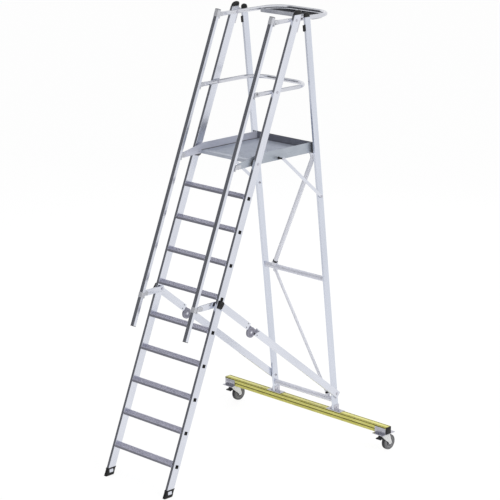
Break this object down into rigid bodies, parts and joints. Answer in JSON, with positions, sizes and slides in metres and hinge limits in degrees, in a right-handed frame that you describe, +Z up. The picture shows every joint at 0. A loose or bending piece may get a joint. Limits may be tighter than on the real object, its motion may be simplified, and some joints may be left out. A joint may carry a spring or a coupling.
{
  "type": "mobile folding platform ladder",
  "caption": "Folding platform ladder in light alloy with a guarded platform, a tool tray, handrails, fold arms and a yellow wheeled rear beam.",
  "frame": {"origin": "on the floor, midway between the front of the shoes and the rear of the wheels, in the middle plane", "axes": "+X across the ladder, +Y from the climbing side to the wheeled rear beam, +Z up"},
  "size_m": [1.792, 2.0266, 3.499],
  "materials": {
    "alloy": "smooth mill finish",
    "ribbed_alloy": "ribbed extrusion",
    "zinc_steel": "zinc plated",
    "black_plastic": "moulded black plastic",
    "grey_plastic": "moulded grey plastic",
    "yellow_paint": "powder coated",
    "hub": "moulded grey hub",
    "tyre": "grey rubber tread"
  },
  "bodies": {
    "front_frame": {"stile_left": "alloy", "stile_right": "alloy", "tread_1": "ribbed_alloy", "tread_2": "ribbed_alloy", "tread_3": "ribbed_alloy", "tread_4": "ribbed_alloy", "tread_5": "ribbed_alloy", "tread_6": "ribbed_alloy", "tread_7": "ribbed_alloy", "tread_8": "ribbed_alloy", "tread_9": "ribbed_alloy", "tread_plugs": "black_plastic", "feet": "black_plastic", "front_caps": "black_plastic", "front_hinge_plates": "zinc_steel", "front_bolts": "zinc_steel", "arm_saddles": "black_plastic"},
    "rear_frame": {"rear_stile_left": "alloy", "rear_stile_right": "alloy", "crossbar_middle": "alloy", "crossbar_lower": "alloy", "brace_upper": "alloy", "brace_lower": "alloy", "brace_fittings": "black_plastic", "rear_caps": "black_plastic", "rear_hinge_lugs": "zinc_steel", "rear_pins": "zinc_steel", "rear_pads": "black_plastic", "beam": "yellow_paint", "beam_caps": "black_plastic", "beam_brackets": "zinc_steel", "caster_plates": "zinc_steel"},
    "platform": {"deck": "ribbed_alloy", "toe_board_left": "alloy", "toe_board_right": "alloy", "toe_board_rear": "alloy", "platform_blocks": "black_plastic", "strut_pins": "black_plastic"},
    "guard_rail": {"guard_hoop": "alloy", "tool_tray": "alloy"},
    "knee_rail": {"knee_hoop": "alloy"},
    "handrails": {"handrail_left": "alloy", "handrail_right": "alloy", "handrail_clamps": "grey_plastic", "handrail_caps": "grey_plastic"},
    "lower_arms": {"lower_arms": "alloy"},
    "front_arms": {"front_arms": "alloy", "arm_caps": "black_plastic"},
    "rear_arms": {"rear_arms": "alloy"},
    "lock_lever_left": {"lock_lever_left": "black_plastic"},
    "lock_lever_right": {"lock_lever_right": "black_plastic"},
    "struts": {"struts": "alloy"},
    "caster_left": {"caster_fork_left": "zinc_steel"},
    "caster_right": {"caster_fork_right": "zinc_steel"},
    "wheel_left": {"hub_left": "hub", "tyre_left": "tyre"},
    "wheel_right": {"hub_right": "hub", "tyre_right": "tyre"},
    "pedal_left": {"pedal_left": "black_plastic"},
    "pedal_right": {"pedal_right": "black_plastic"}
  },
  "joints": [
    {"name": "rear_fold", "type": "hinge", "parent": "front_frame", "child": "rear_frame", "pos_m": [0, 0.45053, 3.43], "axis": [-1, 0, 0], "range_deg": [0, 23.5]},
    {"name": "platform_lift", "type": "hinge", "parent": "front_frame", "child": "platform", "pos_m": [0, -0.02034, 2.391], "axis": [1, 0, 0], "range_deg": [0, 57.53]},
    {"name": "guard_rail_lift", "type": "hinge", "parent": "front_frame", "child": "guard_rail", "pos_m": [0, 0.39114, 3.424], "axis": [1, 0, 0], "range_deg": [0, 57.53]},
    {"name": "knee_rail_lift", "type": "hinge", "parent": "front_frame", "child": "knee_rail", "pos_m": [0, 0.1852, 2.907], "axis": [1, 0, 0], "range_deg": [0, 57.53]},
    {"name": "lower_arm_drop", "type": "hinge", "parent": "front_frame", "child": "lower_arms", "pos_m": [0, -0.42306, 1.38], "axis": [1, 0, 0], "range_deg": [0, 57.53]},
    {"name": "handrail_swing", "type": "hinge", "parent": "guard_rail", "child": "handrails", "pos_m": [0, 0.22614, 3.424], "axis": [-1, 0, 0], "range_deg": [0, 57.53]},
    {"name": "strut_swing", "type": "hinge", "parent": "rear_frame", "child": "struts", "pos_m": [0, 0.67525, 2.024], "axis": [-1, 0, 0], "range_deg": [0, 28.69]},
    {"name": "rear_arm_swing", "type": "hinge", "parent": "rear_frame", "child": "rear_arms", "pos_m": [0, 0.86809, 0.365], "axis": [-1, 0, 0], "range_deg": [0, 43.09]},
    {"name": "knee_fold", "type": "hinge", "parent": "rear_arms", "child": "front_arms", "pos_m": [0, -0.11208, 1.10246], "axis": [1, 0, 0], "range_deg": [0, 147.86]},
    {"name": "lock_lever_left_press", "type": "hinge", "parent": "rear_arms", "child": "lock_lever_left", "pos_m": [-0.3615, -0.08243, 1.08678], "axis": [1, 0, 0], "range_deg": [0, 15], "stiffness_Nm_per_rad": 0.8},
    {"name": "caster_left_swivel", "type": "hinge", "parent": "rear_frame", "child": "caster_left", "pos_m": [-0.835, 0.89278, 0.141], "axis": [0, 0, 1], "continuous": true},
    {"name": "wheel_left_spin", "type": "hinge", "parent": "caster_left", "child": "wheel_left", "pos_m": [-0.835, 0.95078, 0.0625], "axis": [1, 0, 0], "continuous": true},
    {"name": "pedal_left_press", "type": "hinge", "parent": "caster_left", "child": "pedal_left", "pos_m": [-0.835, 0.86278, 0.1187], "axis": [1, 0, 0], "range_deg": [0, 12], "stiffness_Nm_per_rad": 1.5},
    {"name": "lock_lever_right_press", "type": "hinge", "parent": "rear_arms", "child": "lock_lever_right", "pos_m": [0.3615, -0.08243, 1.08678], "axis": [1, 0, 0], "range_deg": [0, 15], "stiffness_Nm_per_rad": 0.8},
    {"name": "caster_right_swivel", "type": "hinge", "parent": "rear_frame", "child": "caster_right", "pos_m": [0.835, 0.89278, 0.141], "axis": [0, 0, 1], "continuous": true},
    {"name": "wheel_right_spin", "type": "hinge", "parent": "caster_right", "child": "wheel_right", "pos_m": [0.835, 0.95078, 0.0625], "axis": [1, 0, 0], "continuous": true},
    {"name": "pedal_right_press", "type": "hinge", "parent": "caster_right", "child": "pedal_right", "pos_m": [0.835, 0.86278, 0.1187], "axis": [1, 0, 0], "range_deg": [0, 12], "stiffness_Nm_per_rad": 1.5}
  ],
  "couplings": [
    {"joint": "platform_lift", "follows": "rear_fold", "ratio": 2.4477},
    {"joint": "guard_rail_lift", "follows": "rear_fold", "ratio": 2.4477},
    {"joint": "knee_rail_lift", "follows": "rear_fold", "ratio": 2.4477},
    {"joint": "lower_arm_drop", "follows": "rear_fold", "ratio": 2.4477},
    {"joint": "handrail_swing", "follows": "rear_fold", "ratio": 2.4477},
    {"joint": "strut_swing", "follows": "rear_fold", "ratio": 1.2206},
    {"joint": "rear_arm_swing", "follows": "rear_fold", "ratio": 1.8333},
    {"joint": "knee_fold", "follows": "rear_fold", "ratio": 6.2915}
  ]
}
